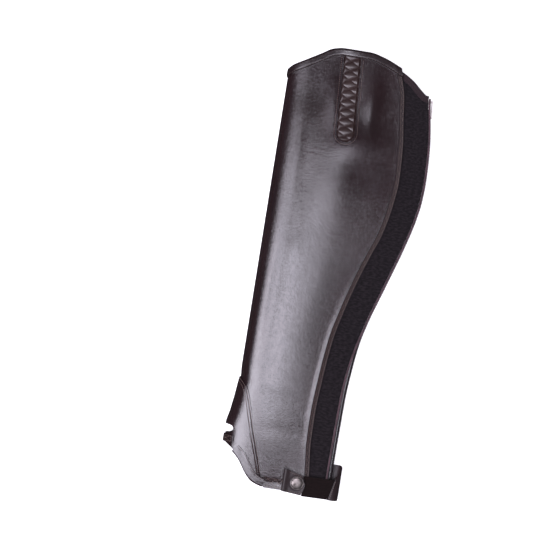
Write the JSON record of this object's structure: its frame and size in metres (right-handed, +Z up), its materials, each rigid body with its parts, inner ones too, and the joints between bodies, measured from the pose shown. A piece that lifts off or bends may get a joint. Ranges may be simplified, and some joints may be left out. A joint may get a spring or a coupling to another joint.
{
  "type": "half chap",
  "caption": "Riding half chap in dark brown leather on its inner side: a flattened tube with a back zip, calf elastic, smocked insert, slotted instep piece and snap strap.",
  "frame": {"origin": "middle of the chap's outline, on the surface that it lies on", "axes": "+Y up the leg toward the knee, +X across toward the zip at the back of the leg, +Z up from the surface, out of the outer side"},
  "size_m": [0.162, 0.45, 0.0291],
  "materials": {
    "dark_brown_leather": "smooth, with a soft waxed shine",
    "taupe_suede": "napped suede",
    "black_elastic": "matt ribbed stretch cloth",
    "plum_binding": "matt woven tape",
    "black_tape": "woven tape",
    "brown_elastic": "ribbed elastic",
    "antique_silver": "antique silver plate",
    "black_coil": "moulded coil"
  },
  "bodies": {
    "chap": {"main_panel": "dark_brown_leather", "lining": "taupe_suede", "insert_panel": "dark_brown_leather", "seam_strip": "dark_brown_leather", "insert_tape_back": "black_tape", "insert_tape_front": "black_tape", "elastic_tape": "black_tape", "top_binding": "dark_brown_leather", "elastic_panel": "black_elastic", "elastic_binding": "plum_binding", "elastic_piping": "plum_binding", "zip_coil": "black_coil", "zip_tape_outer": "black_tape", "zip_tape_inner": "black_tape", "zip_slider": "antique_silver", "foot_panel": "dark_brown_leather", "foot_binding_outer": "dark_brown_leather", "foot_binding_inner": "dark_brown_leather", "bridge_strap": "dark_brown_leather", "strap_end": "dark_brown_leather", "strap_elastic": "brown_elastic", "strap_tab": "dark_brown_leather", "snap_cap": "antique_silver", "snap_stud": "antique_silver"},
    "pull": {"zip_pull": "antique_silver"}
  },
  "joints": [
    {"name": "pull_hinge", "type": "hinge", "parent": "chap", "child": "pull", "pos_m": [0.07382, 0.1866, 0.0056], "axis": [0, 0, 1], "range_deg": [0, 150]}
  ]
}
